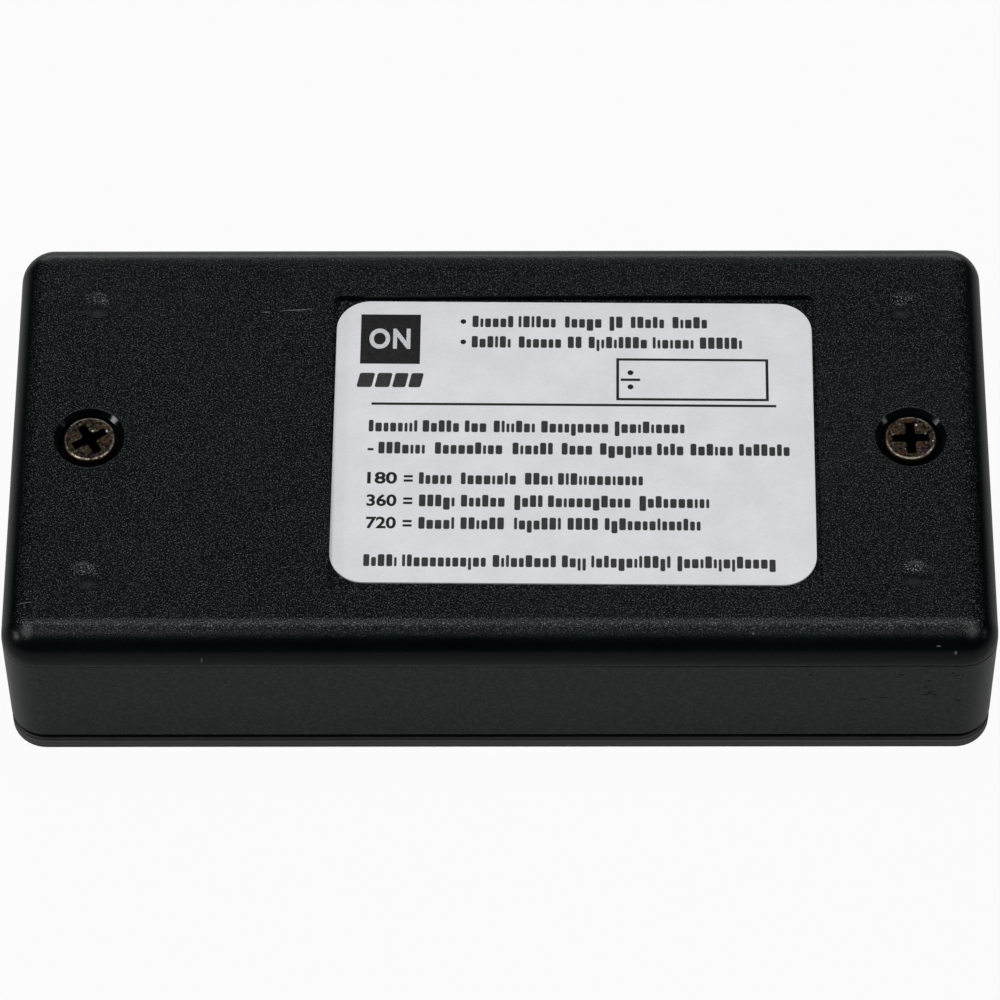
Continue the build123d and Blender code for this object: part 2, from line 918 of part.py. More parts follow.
os.makedirs("parts", exist_ok=True)
save("rear_shell", rear_shell())
save("front_cover", front_cover())
save("case_screws", case_screws())
save("instruction_label", instruction_label())
save("label_print", label_print())
save("display_window", display_window())
save("window_adhesive", window_adhesive())
save("lcd_frame", lcd_frame())
save("lcd_front_polarizer", lcd_front_polarizer())
save("lcd_front_glass", lcd_front_glass())
save("lcd_rear_glass", lcd_rear_glass())
save("lcd_reflector", lcd_reflector())
save("zebra_strip_upper", zebra_strip(1))
save("zebra_strip_lower", zebra_strip(-1))
save("circuit_board", circuit_board())
save("board_screws", board_screws())
save("on_button", on_button())
save("switch_base", switch_base())
save("switch_plate", switch_plate())
save("switch_plunger", switch_plunger())
save("snap_dome", snap_dome())
save("switch_legs", switch_legs())
save("battery_holder", battery_holder())
save("coin_cell", coin_cell())
save("battery_clip", battery_clip())
save("battery_contact", battery_contact())
save("pickup_bobbin", pickup_bobbin())
save("pickup_winding", pickup_winding())
save("pickup_core", pickup_core())
save("pickup_tabs", pickup_tabs())
save("microcontroller", microcontroller())
save("controller_leads", controller_leads())
save("quartz_crystal", quartz_crystal())
save("filter_capacitor", filter_capacitor())
save("chip_resistors", chip_resistors())
save("chip_capacitors", chip_capacitors())
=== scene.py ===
import math
import random

import bpy
from mathutils import Matrix, Vector


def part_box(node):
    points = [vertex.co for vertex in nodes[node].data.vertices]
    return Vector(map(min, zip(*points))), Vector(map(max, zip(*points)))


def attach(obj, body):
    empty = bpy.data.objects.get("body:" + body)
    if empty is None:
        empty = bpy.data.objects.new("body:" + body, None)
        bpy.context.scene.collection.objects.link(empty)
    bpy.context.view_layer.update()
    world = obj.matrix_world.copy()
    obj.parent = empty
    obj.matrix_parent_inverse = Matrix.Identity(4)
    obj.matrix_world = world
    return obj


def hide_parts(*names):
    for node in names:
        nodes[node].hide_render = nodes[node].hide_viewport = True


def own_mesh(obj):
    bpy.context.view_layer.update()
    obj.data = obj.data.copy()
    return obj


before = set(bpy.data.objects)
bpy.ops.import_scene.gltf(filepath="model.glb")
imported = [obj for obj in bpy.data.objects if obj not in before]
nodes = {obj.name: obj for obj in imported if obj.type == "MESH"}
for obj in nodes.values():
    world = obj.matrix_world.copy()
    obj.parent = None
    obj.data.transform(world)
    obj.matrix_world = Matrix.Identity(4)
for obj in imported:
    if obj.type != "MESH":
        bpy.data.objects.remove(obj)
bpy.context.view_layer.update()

MM = 0.001
CASE = "case"
scene = bpy.context.scene
scene.view_settings.view_transform = "Standard"

# What Blender starts with isn't part of the scene.
for left_over in ("Cube", "Light", "Camera"):
    if left_over in bpy.data.objects:
        bpy.data.objects.remove(bpy.data.objects[left_over])


def box_mm(node_name):
    """A node's lowest and highest corners in millimetres, rounded to a thousandth."""
    return [[round(value / MM, 3) for value in corner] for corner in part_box(node_name)]


# Camera: where the photograph was taken from. The lens and sensor are in millimetres, the rest in metres.
LENS = 198.02
SENSOR = 36.0
NEAREST = 0.05
FARTHEST = 20.0
DISTANCE = 0.57945
AZIMUTH = math.radians(0.736)
ELEVATION = math.radians(57.091)
ROLL = math.radians(-0.684)
TARGET = Vector((-0.00013, 0.005349, 0.0))


def make_camera():
    data = bpy.data.cameras.new("camera")
    data.lens = LENS
    data.sensor_width = SENSOR
    data.clip_start = NEAREST
    data.clip_end = FARTHEST
    back = Vector((math.sin(AZIMUTH) * math.cos(ELEVATION),
                   -math.cos(AZIMUTH) * math.cos(ELEVATION),
                   math.sin(ELEVATION)))
    level = Vector((math.cos(AZIMUTH), math.sin(AZIMUTH), 0.0))
    rise = back.cross(level)
    right = math.cos(ROLL) * level + math.sin(ROLL) * rise
    up = -math.sin(ROLL) * level + math.cos(ROLL) * rise
    turn = Matrix((right, up, back)).transposed().to_4x4()
    camera = bpy.data.objects.new("camera", data)
    camera.matrix_world = Matrix.Translation(TARGET + back * DISTANCE) @ turn
    scene.collection.objects.link(camera)
    scene.camera = camera


# Materials: object coordinates in millimetres, so every grain has its real size
NOISE_USUAL = (0.3, 0.7)
SHIFT_WAY = (1.0, 0.7, 1.3)
SPOT_CORE = 0.4
BEVEL_SAMPLES = 4
WELL_X = 41.8


class Look:
    """A material under construction. Its methods return sockets, to be fed into one another."""

    def __init__(self, name):
        self.material = bpy.data.materials.new(name)
        self.material.use_nodes = True
        self.tree = self.material.node_tree
        self.shader = self.tree.nodes["Principled BSDF"]
        place = self.add("ShaderNodeTexCoord").outputs["Object"]
        self.mm = self.vector("SCALE", place, scale=1.0 / MM)
        self.normal = None

    def add(self, kind, **settings):
        node = self.tree.nodes.new(kind)
        for key, value in settings.items():
            setattr(node, key, value)
        return node

    def feed(self, socket, value):
        """Links one socket to another, or sets it to a value; None leaves it as it is."""
        if isinstance(value, bpy.types.NodeSocket):
            self.tree.links.new(value, socket)
        elif value is not None:
            socket.default_value = value

    def set(self, **values):
        """Feeds the shader's sockets, named with _ for a space."""
        for name, value in values.items():
            socket = self.shader.inputs[name.replace("_", " ")]
            self.feed(socket, (*value, 1.0) if isinstance(value, tuple) else value)

    def math(self, operation, a, b=None):
        node = self.add("ShaderNodeMath", operation=operation)
        self.feed(node.inputs[0], a)
        self.feed(node.inputs[1], b)
        return node.outputs[0]

    def plus(self, a, b):
        return self.math("ADD", a, b)

    def minus(self, a, b):
        return self.math("SUBTRACT", a, b)

    def times(self, a, b):
        return self.math("MULTIPLY", a, b)

    def without(self, value, share):
        """The value, going down to nothing where the share goes up to one."""
        return self.times(value, self.minus(1.0, share))

    def vector(self, operation, a, b=None, scale=None):
        node = self.add("ShaderNodeVectorMath", operation=operation)
        self.feed(node.inputs[0], a)
        self.feed(node.inputs[1], b)
        self.feed(node.inputs[3], scale)
        return node.outputs["Value" if operation == "LENGTH" else "Vector"]

    def split(self, vector):
        node = self.add("ShaderNodeSeparateXYZ")
        self.feed(node.inputs[0], vector)
        return node.outputs

    def from_axis(self):
        """Distance in mm from the axis of the nearer screw."""
        x, y, _ = self.split(self.mm)
        node = self.add("ShaderNodeCombineXYZ")
        self.feed(node.inputs[0], self.minus(self.math("ABSOLUTE", x), WELL_X))
        self.feed(node.inputs[1], y)
        return self.vector("LENGTH", node.outputs[0])

    def noise(self, size, detail=2.0, roughness=0.5, stretch=(1.0, 1.0, 1.0), shift=0.0):
        """Noise with cells of about size mm, stretched along an axis by its factor."""
        at = self.vector("MULTIPLY", self.mm, tuple(1.0 / s for s in stretch))
        node = self.add("ShaderNodeTexNoise")
        self.feed(node.inputs["Vector"], self.vector("ADD", at, tuple(shift * way for way in SHIFT_WAY)))
        self.feed(node.inputs["Scale"], 1.0 / size)
        self.feed(node.inputs["Detail"], detail)
        self.feed(node.inputs["Roughness"], roughness)
        return node.outputs[0]

    def ranged(self, value, low, high, to_low=0.0, to_high=1.0):
        """The value's range from low to high, made to run from to_low to to_high."""
        node = self.add("ShaderNodeMapRange")
        for name, number in (("Value", value), ("From Min", low), ("From Max", high),
                             ("To Min", to_low), ("To Max", to_high)):
            self.feed(node.inputs[name], number)
        return node.outputs[0]

    def spread(self, noise, to_low=0.0, to_high=1.0):
        """The usual values of a noise, made to run from to_low to to_high."""
        return self.ranged(noise, *NOISE_USUAL, to_low, to_high)

    def band(self, value, middle, half, edge):
        """One where a value is within half of the middle, falling to nothing over edge."""
        off = self.math("ABSOLUTE", self.minus(value, middle))
        return self.ranged(off, half + edge, half)

    def mix(self, share, a, b):
        """Colour a, going over to colour b where the share goes up to one."""
        node = self.add("ShaderNodeMix", data_type="RGBA")
        self.feed(node.inputs["Factor"], share)
        for name, value in (("A_Color", a), ("B_Color", b)):
            socket = next(s for s in node.inputs if s.identifier == name)
            self.feed(socket, (*value, 1.0) if isinstance(value, tuple) else value)
        return next(s for s in node.outputs if s.identifier == "Result_Color")

    def spot(self, centre, half, turn=0.0):
        """One at the middle of an ellipsoid with the given half sizes, falling to nothing at its edge."""
        away = self.vector("SUBTRACT", self.mm, centre)
        if turn:
            node = self.add("ShaderNodeVectorRotate", rotation_type="Z_AXIS")
            self.feed(node.inputs["Vector"], away)
            self.feed(node.inputs["Angle"], math.radians(-turn))
            away = node.outputs[0]
        reach = self.vector("LENGTH", self.vector("MULTIPLY", away, tuple(1.0 / h for h in half)))
        return self.ranged(reach, 1.0, SPOT_CORE)

    def spots(self, places):
        """The strongest of the spots at the given places."""
        total = None
        for place in places:
            one = self.spot(*place)
            total = one if total is None else self.math("MAXIMUM", total, one)
        return total

    def take_normal(self, normal):
        self.normal = normal
        self.set(Normal=normal)

    def soften(self, radius):
        """The small radius that every moulded or pressed edge has."""
        node = self.add("ShaderNodeBevel", samples=BEVEL_SAMPLES)
        self.feed(node.inputs["Radius"], radius * MM)
        self.take_normal(node.outputs[0])

    def bump(self, height, depth):
        """Relief of depth mm for a height running from 0 to 1, added to what is there; below 0 it is sunk."""
        node = self.add("ShaderNodeBump", invert=depth < 0)
        self.feed(node.inputs["Height"], height)
        self.feed(node.inputs["Distance"], abs(depth) * MM)
        self.feed(node.inputs["Normal"], self.normal)
        self.take_normal(node.outputs[0])


# The case's moulding: spark-eroded grain above the witness line, plain drafted walls below it
PLASTIC_DARK = (0.0003, 0.0018, 0.0021)
PLASTIC_PALE = (0.0010, 0.0032, 0.0036)
PLASTIC_SPECULAR = 0.21
# Near black painted as shade: in the nicks, in the groove above the cover's rim and deep in the screws' cross
# recesses
PAINTED_SHADE_BLACK = (0.0002, 0.0002, 0.0002)
CASE_EDGE = 0.08
CASE_DRIFT = dict(size=9.0, detail=3.0)
GRAIN = dict(size=0.14, detail=1.0, roughness=0.6)
GRAIN_DEPTH = 0.015
COARSE_GRAIN = dict(size=0.8, detail=1.0, roughness=0.5, shift=31.0)
COARSE_SHARE = 0.5
SMEAR = dict(size=1.6, detail=3.0, roughness=0.5, stretch=(14.0, 14.0, 1.0))
SMEAR_ROUGH = (0.2, 0.25)
PATCHES = dict(GRAIN, shift=83.0)
PATCH_VALUES = (0.35, 0.65)
PATCH_ROUGH = 0.05

# The witness line, strongest at the right end of the near wall
WITNESS = 16.2
WITNESS_EDGE = 0.1
LINE_HALF = 0.17
LINE_GROWS = (5.0, 38.0)
LINE_LEAST = 0.15
LINE_DEPTH = -0.3
LINE_ROUGH = 0.8

# The polished ring round each screw's well
RING_RADIUS = 3.35
RING_HALF = 0.3
RING_EDGE = 0.05
RING_HEIGHT = (19.2, 19.4)
RING_ROUGH = 0.13

# Painted sparkle: pale specks in the grain, and a faint painted sheen, where the surface faces up; and pale
# flecks in the plain walls
SPARKLE_AND_FLECK_COLOUR = (0.53, 0.58, 0.59)
SPARKLE_SPOTS = dict(GRAIN, shift=57.0)
SPARKLE_VALUES = (0.55, 0.73)
SPARKLE_SHARE = 0.147
PAINTED_SHEEN_SHARE = 0.0015
FACING_UP = (0.8, 0.95)
FLECKS = dict(size=0.3, detail=2.0, roughness=0.7, shift=71.0)
FLECK_VALUES = (0.4, 0.7)
FLECK_SHARE = 0.045

# Painted highlight along the near edge: more painted sparkle, placed by how its surface leans
HIGHLIGHT_LEAN = -0.19
HIGHLIGHT_HALF = 0.08
HIGHLIGHT_EDGE = 0.14
HIGHLIGHT_FACING_UP = (0.7, 0.8)
HIGHLIGHT_SPARKLE_SHARE = 0.15

# Painted highlight on the sink marks: more painted sparkle in the middle, with a calm patch and a painted
# glow on the near side of each
SINK_PLACES = ((-41.55, 17.3), (41.15, 16.95), (-41.2, -15.8), (41.35, -15.45))
SINK_Z = 19.9
SINK_SPARKLE_SHARE = 0.36
CALM_SHARE = 0.8
GLOW_SHARE = 0.025


def by_sinks(nearer, half):
    """A patch for each sink mark, of the given half sizes and so much nearer than its middle."""
    return tuple(((x, y - nearer, SINK_Z), half) for x, y in SINK_PLACES)


SINKS = by_sinks(0.0, (1.2, 0.9, 2.0))
CALM = by_sinks(1.6, (1.3, 1.15, 2.0))
GLOW = by_sinks(1.85, (0.9, 0.65, 2.0))

# Wear: each mark's middle, its half sizes and, where it is turned, its angle in degrees
SCRATCHES = (((-24.2, 15.56, 20.0), (0.6, 0.07, 0.4), 3.0),
             ((-21.0, 15.82, 20.0), (1.9, 0.08, 0.4), 3.2))
SPECKS = (((-29.7, -24.9, 17.3), (0.09, 0.4, 0.42)),
          ((43.75, -24.14, 18.74), (0.27, 0.3, 0.075), 15.0),
          ((45.45, -24.57, 18.12), (0.18, 0.5, 0.25)),
          ((25.3, -23.2, 19.5), (0.14, 0.14, 0.4)),
          ((-47.4, -19.7, 19.6), (0.95, 0.06, 0.9), 2.0))
SPECK_DEPTH = 0.05
PAINT_COLOUR = (0.45, 0.45, 0.44)
PAINT_SHARE = 0.3

# Nicks in the near wall: x and z of the middle, and the half sizes along them
NEAR_WALL = box_mm("rear_shell")[0][1]
NICK_THICKNESS = 0.3
NICKS = tuple(((x, NEAR_WALL, z), (reach, NICK_THICKNESS, rise)) for x, z, reach, rise in (
    (40.25, 14.6, 0.3, 0.2), (40.0, 14.3, 0.25, 0.16), (36.51, 9.81, 0.45, 0.22),
    (38.81, 10.19, 0.75, 0.12), (31.2, 14.6, 0.22, 0.16), (42.95, 13.41, 0.4, 0.18),
    (42.8, 12.2, 0.5, 0.24), (42.9, 10.78, 0.36, 0.2), (43.25, 11.15, 0.42, 0.3),
    (43.7, 10.8, 0.34, 0.18), (46.14, 9.69, 0.42, 0.24), (45.5, 14.9, 0.28, 0.22),
    (45.85, 14.45, 0.28, 0.22)))
RAGGED = dict(size=0.35, detail=2.0, roughness=0.6, shift=13.0)
RAGGED_VALUES = (0.36, 0.56)
# Share of each nick painted near black as shade in the dent
NICK_PAINTED_SHADE = 0.95
NICK_ROUGH = 0.7
NICK_DEPTH = -1.4


def sparkle_and_fleck_share(look, grained):
    """How far the case's colour goes over to its pale colour: painted sparkle and sheen on upward faces, and
    pale flecks in the plain walls.
    """
    _, lean, up = look.split(look.add("ShaderNodeNewGeometry").outputs["Normal"])
    # Painted highlight: more pale specks along the near edge
    painted_highlight = look.times(look.band(lean, HIGHLIGHT_LEAN, HIGHLIGHT_HALF, HIGHLIGHT_EDGE), grained)
    painted_highlight = look.times(painted_highlight, look.ranged(up, *HIGHLIGHT_FACING_UP))
    share = look.plus(look.times(look.spots(SINKS), SINK_SPARKLE_SHARE), SPARKLE_SHARE)
    share = look.plus(share, look.times(painted_highlight, HIGHLIGHT_SPARKLE_SHARE))
    share = look.without(share, look.times(look.spots(CALM), CALM_SHARE))
    sparkle = look.times(look.ranged(look.noise(**SPARKLE_SPOTS), *SPARKLE_VALUES), share)
    haze = look.plus(look.times(look.spots(GLOW), GLOW_SHARE), PAINTED_SHEEN_SHARE)
    shine = look.times(look.plus(sparkle, haze), look.ranged(up, *FACING_UP))
    flecks = look.without(look.ranged(look.noise(**FLECKS), *FLECK_VALUES), grained)
    return look.plus(shine, look.times(flecks, FLECK_SHARE))


def case_roughness(look, grained, ring, line, nicks):
    """Smeared and patchy, smooth on the polished rings, rough along the witness line and in the nicks."""
    rough = look.spread(look.noise(**SMEAR), *SMEAR_ROUGH)
    patchy = look.ranged(look.noise(**PATCHES), *PATCH_VALUES, 0.0, PATCH_ROUGH)
    rough = look.plus(rough, look.times(patchy, grained))
    rough = look.plus(look.without(rough, ring), look.times(ring, RING_ROUGH))
    rough = look.plus(rough, look.times(line, LINE_ROUGH))
    return look.plus(rough, look.times(nicks, NICK_ROUGH))


def grained_plastic(name):
    look = Look(name)
    along, _, height = look.split(look.mm)
    grained = look.ranged(height, WITNESS - WITNESS_EDGE, WITNESS + WITNESS_EDGE)
    off_line = look.math("ABSOLUTE", look.minus(height, WITNESS))
    line = look.times(look.ranged(off_line, 0.0, LINE_HALF, 1.0, 0.0),
                      look.ranged(along, *LINE_GROWS, LINE_LEAST, 1.0))
    ring = look.times(look.band(look.from_axis(), RING_RADIUS, RING_HALF, RING_EDGE),
                      look.ranged(height, *RING_HEIGHT))
    specks = look.spots(SPECKS)
    nicks = look.times(look.spots(NICKS), look.ranged(look.noise(**RAGGED), *RAGGED_VALUES))

    base = look.mix(look.spread(look.noise(**CASE_DRIFT)), PLASTIC_DARK, PLASTIC_PALE)
    # Painted sparkle, sheen and highlight on upward faces, and pale flecks in the plain walls
    base = look.mix(sparkle_and_fleck_share(look, grained), base, SPARKLE_AND_FLECK_COLOUR)
    # Painted shade: the nicks go near black
    base = look.mix(look.times(nicks, NICK_PAINTED_SHADE), base, PAINTED_SHADE_BLACK)
    paint = look.times(look.plus(specks, look.spots(SCRATCHES)), PAINT_SHARE)
    look.set(Base_Color=look.mix(paint, base, PAINT_COLOUR), Specular_IOR_Level=PLASTIC_SPECULAR,
             Roughness=case_roughness(look, grained, ring, line, nicks))

    relief = look.plus(look.noise(**GRAIN), look.times(look.noise(**COARSE_GRAIN), COARSE_SHARE))
    look.soften(CASE_EDGE)
    look.bump(look.times(look.without(relief, ring), grained), GRAIN_DEPTH)
    look.bump(line, LINE_DEPTH)
    look.bump(specks, SPECK_DEPTH)
    look.bump(nicks, NICK_DEPTH)
    return look.material


# The front cover's plainer moulding, with the fine lines of its mould round the rim and painted sheen in pale
# and dark bands along them
COVER_DARK = (0.008, 0.0085, 0.0082)
COVER_PALE = (0.012, 0.0125, 0.012)
COVER_DRIFT = dict(size=7.0, detail=3.0, shift=5.0)
COVER_EDGE = 0.12
COVER_GRAIN = dict(size=0.25, detail=2.0, roughness=0.6)
COVER_GRAIN_DEPTH = 0.03
COVER_SMEAR = dict(size=2.5, detail=3.0)
COVER_ROUGH = (0.43, 0.49)
RIM_SHEEN_DARK = (0.0165, 0.0175, 0.017)
RIM_SHEEN_PALE = (0.074, 0.077, 0.075)
RIM_TOP = 2.0
RIM_MARGIN = 0.25
RIM_EDGE = 0.15
RIM_LINE_PITCH = 0.56
RIM_LINE_DEPTH = 0.02
RIM_WANDER = dict(size=2.0, detail=2.0, roughness=0.5, stretch=(12.0, 12.0, 1.0))
RIM_WANDER_REACH = 0.5
# Heights from which the cover is painted near black as shade in the groove under the case
PAINTED_GROOVE_SHADE = (RIM_TOP - 0.08, RIM_TOP - 0.01)


def rim_plastic(name):
    look = Look(name)
    height = look.split(look.mm)[2]
    wander = look.times(look.noise(**RIM_WANDER), RIM_WANDER_REACH)
    turns = look.times(look.plus(height, wander), 2.0 * math.pi / RIM_LINE_PITCH)
    lines = look.ranged(look.math("SINE", turns), -1.0, 1.0)
    rim = look.band(height, RIM_TOP / 2, RIM_TOP / 2 - RIM_MARGIN, RIM_EDGE)
    base = look.mix(look.spread(look.noise(**COVER_DRIFT)), COVER_DARK, COVER_PALE)
    # Painted sheen: the rim goes paler, in pale and dark bands along its mould lines
    base = look.mix(rim, base, look.mix(lines, RIM_SHEEN_DARK, RIM_SHEEN_PALE))
    # Painted shade: the rim's top in the groove, and what stands above it, go near black
    look.set(Base_Color=look.mix(look.ranged(height, *PAINTED_GROOVE_SHADE), base, PAINTED_SHADE_BLACK),
             Roughness=look.spread(look.noise(**COVER_SMEAR), *COVER_ROUGH))
    look.soften(COVER_EDGE)
    look.bump(look.times(lines, rim), RIM_LINE_DEPTH)
    look.bump(look.noise(**COVER_GRAIN), COVER_GRAIN_DEPTH)
    return look.material


# The label's white film
FILM_GREY = (0.835, 0.845, 0.88)
FILM_WHITE = (0.915, 0.92, 0.95)
FILM_CLOUD = dict(size=4.0, detail=4.0, roughness=0.6)
FILM_CLOUD_SHARE = 0.6
FILM_FIBRE = dict(size=0.22, detail=2.0, roughness=0.6, shift=9.0)
FILM_FIBRE_SHARE = 0.4
FILM_FIBRE_DEPTH = 0.008
FILM_VALUES = (0.38, 0.62)
FILM_ROUGH = (0.42, 0.52)


def label_film(name):
    look = Look(name)
    cloud = look.noise(**FILM_CLOUD)
    fibre = look.noise(**FILM_FIBRE)
    tone = look.plus(look.times(cloud, FILM_CLOUD_SHARE), look.times(fibre, FILM_FIBRE_SHARE))
    look.set(Base_Color=look.mix(look.ranged(tone, *FILM_VALUES), FILM_GREY, FILM_WHITE),
             Roughness=look.spread(cloud, *FILM_ROUGH))
    look.bump(fibre, FILM_FIBRE_DEPTH)
    return look.material


# Printed ink, a little uneven
INK_SPREAD = dict(size=0.16, detail=2.0, roughness=0.6)
INK_VALUES = (0.4, 0.66)
INK_PALER = 1.3
INK_HAZE = 0.012
INK_ROUGH = (0.35, 0.5)


def ink(name, colour, specular=0.5):
    look = Look(name)
    spread = look.noise(**INK_SPREAD)
    paler = tuple(min(1.0, c * INK_PALER + INK_HAZE) for c in colour)
    look.set(Base_Color=look.mix(look.ranged(spread, *INK_VALUES), colour, paler),
             Roughness=look.spread(spread, *INK_ROUGH), Specular_IOR_Level=specular)
    return look.material


# Plain mouldings and metals, mostly of what is inside
PLASTIC_CLOUD = dict(size=3.0, detail=4.0, roughness=0.55)
PLASTIC_GRAIN = dict(detail=2.0, roughness=0.6, shift=3.0)
PLASTIC_ROUGH_SPREAD = 0.06
METAL_CLOUD = dict(size=1.2, detail=4.0, roughness=0.6)
METAL_CLOUD_VALUES = (0.35, 0.65)
METAL_LINES = dict(detail=3.0, roughness=0.6)
METAL_ROUGH_VALUES = (0.6, 1.4)
METAL_SMOOTHER = 0.08
METAL_ROUGHER = 0.12
TARNISH = 0.8


def plastic(name, colour, rough=0.45, grain=0.3, relief=0.01, spread=0.12):
    """A moulded or rubbery surface: clouded colour, uneven gloss and a fine grain."""
    look = Look(name)
    low = tuple(c * (1.0 - spread) for c in colour)
    high = tuple(min(1.0, c * (1.0 + spread)) for c in colour)
    fine = look.noise(grain, **PLASTIC_GRAIN)
    look.set(Base_Color=look.mix(look.spread(look.noise(**PLASTIC_CLOUD)), low, high),
             Roughness=look.spread(fine, rough - PLASTIC_ROUGH_SPREAD, rough + PLASTIC_ROUGH_SPREAD))
    look.bump(fine, relief)
    return look.material


def metal_look(name):
    """A look that is metal all over."""
    look = Look(name)
    look.set(Metallic=1.0)
    return look


def metal(name, colour, rough=0.3, lines=(1.0, 1.0, 1.0), grain=0.12, relief=0.003):
    """Bare or plated metal, with drawn lines along an axis and a thin uneven tarnish."""
    look = metal_look(name)
    cloud = look.noise(**METAL_CLOUD)
    drawn = look.noise(grain, stretch=lines, **METAL_LINES)
    dull = tuple(c * TARNISH for c in colour)
    look.set(Base_Color=look.mix(look.ranged(cloud, *METAL_CLOUD_VALUES), colour, dull),
             Roughness=look.ranged(look.plus(cloud, drawn), *METAL_ROUGH_VALUES,
                                   rough - METAL_SMOOTHER, rough + METAL_ROUGHER))
    look.bump(drawn, relief)
    return look.material


# The screws' blackened steel, mottled where the finish has aged: each tint has its own noise
BRONZE = (0.092, 0.05, 0.028)
OLIVE = (0.05, 0.05, 0.03)
PLUM = (0.05, 0.028, 0.04)
BARE = (0.2, 0.165, 0.13)
SOOT = (0.012, 0.01, 0.008)
WORN_AND_HIGHLIGHT_STEEL = (0.34, 0.3, 0.25)
OLIVE_BLOTCH = dict(size=0.9, detail=4.0, roughness=0.65)
OLIVE_VALUES = (0.44, 0.56)
PLUM_BLOTCH = dict(size=0.7, detail=2.0, roughness=0.5, shift=41.0)
PLUM_VALUES = (0.52, 0.58)
BARE_GRAIN = dict(size=0.22, detail=3.0, roughness=0.6, shift=17.0)
BARE_VALUES = (0.57, 0.66)
SOOT_BLOTCH = dict(size=0.4, detail=3.0, roughness=0.6, shift=5.0)
SOOT_VALUES = (0.5, 0.6)
STEEL_ROUGH_VALUES = (0.7, 1.3)
STEEL_ROUGH = (0.3, 0.5)
STEEL_EDGE = 0.06
STEEL_GRAIN_DEPTH = 0.035
STEEL_BLOTCH_DEPTH = 0.06

# The ring where the head's rim is worn bright, with a painted highlight in it, and painted shade deep in the
# cross recess
WORN_HIGHLIGHT_RADIUS = 2.47
WORN_HIGHLIGHT_HALF = 0.05
WORN_HIGHLIGHT_EDGE = 0.06
WORN_HIGHLIGHT_PATCHES = dict(size=0.8, detail=3.0, roughness=0.6, shift=23.0)
WORN_HIGHLIGHT_VALUES = (0.42, 0.56)
WORN_HIGHLIGHT_SMOOTHER = 0.12
HEAD_TOP = box_mm("case_screws")[1][2]
CROSS_REACH = 1.95
CROSS_EDGE = 0.1
CROSS_SHADE_DEPTHS = (HEAD_TOP - 0.04, HEAD_TOP - 0.2)

# Painted glints on the heads, pale spots on the edges of the cross recesses: x and y of the middle, and the
# half sizes along them
GLINT_COLOUR = (0.75, 0.75, 0.72)
GLINT_Z = 19.8
GLINT_RISE = 0.3
PAINTED_GLINTS = tuple(((x, y, GLINT_Z), (reach, width, GLINT_RISE)) for x, y, reach, width in (
    (-41.5, 0.94, 0.16, 0.12), (-40.06, 0.94, 0.12, 0.2), (42.42, 1.54, 0.13, 0.17),
    (44.05, -0.37, 0.11, 0.1), (43.83, -1.42, 0.07, 0.07), (43.3, 0.52, 0.09, 0.06),
    (40.0, 0.42, 0.07, 0.07), (41.2, -1.36, 0.06, 0.06)))


def screw_steel(name):
    look = metal_look(name)
    blotch = look.noise(**OLIVE_BLOTCH)
    fine = look.noise(**BARE_GRAIN)
    base = look.mix(look.ranged(blotch, *OLIVE_VALUES), BRONZE, OLIVE)
    base = look.mix(look.ranged(look.noise(**PLUM_BLOTCH), *PLUM_VALUES), base, PLUM)
    base = look.mix(look.ranged(fine, *BARE_VALUES), base, BARE)
    base = look.mix(look.ranged(look.noise(**SOOT_BLOTCH), *SOOT_VALUES), base, SOOT)
    out = look.from_axis()
    # Wear and painted highlight: a bright ring round the head's rim
    worn_highlight = look.times(look.band(out, WORN_HIGHLIGHT_RADIUS, WORN_HIGHLIGHT_HALF, WORN_HIGHLIGHT_EDGE),
                      look.ranged(look.noise(**WORN_HIGHLIGHT_PATCHES), *WORN_HIGHLIGHT_VALUES))
    base = look.mix(worn_highlight, base, WORN_AND_HIGHLIGHT_STEEL)
    # Painted shade deep in the cross recess
    recess_shade = look.times(look.ranged(look.split(look.mm)[2], *CROSS_SHADE_DEPTHS),
                      look.ranged(out, CROSS_REACH + CROSS_EDGE, CROSS_REACH))
    base = look.mix(recess_shade, base, PAINTED_SHADE_BLACK)
    # Painted glints: pale spots on the recess edges
    glints = look.spots(PAINTED_GLINTS)
    rough = look.ranged(look.plus(blotch, fine), *STEEL_ROUGH_VALUES, *STEEL_ROUGH)
    look.set(Base_Color=look.mix(glints, base, GLINT_COLOUR), Metallic=look.minus(1.0, glints),
             Roughness=look.minus(rough, look.times(worn_highlight, WORN_HIGHLIGHT_SMOOTHER)))
    look.soften(STEEL_EDGE)
    look.bump(fine, STEEL_GRAIN_DEPTH)
    look.bump(blotch, STEEL_BLOTCH_DEPTH)
    return look.material


# Clear sheets, with a faint haze
HAZE = dict(size=2.0, detail=3.0)
HAZE_DARKER = 0.9
HAZE_ROUGH = 0.03
HAZE_DEPTH = 0.004
BODY_CLOUD = dict(size=1.5, detail=3.0, shift=12.0)
BODY_SPREAD = 0.02


def clear_plastic(name, tint, rough, body):
    """A thin clear sheet; body is the share of it that isn't seen through."""
    look = Look(name)
    haze = look.noise(**HAZE)
    darker = tuple(c * HAZE_DARKER for c in tint)
    look.set(Base_Color=look.mix(look.spread(haze), tint, darker),
             Roughness=look.spread(haze, rough, rough + HAZE_ROUGH),
             Alpha=look.spread(look.noise(**BODY_CLOUD), body, body + BODY_SPREAD))
    look.bump(haze, HAZE_DEPTH)
    return look.material


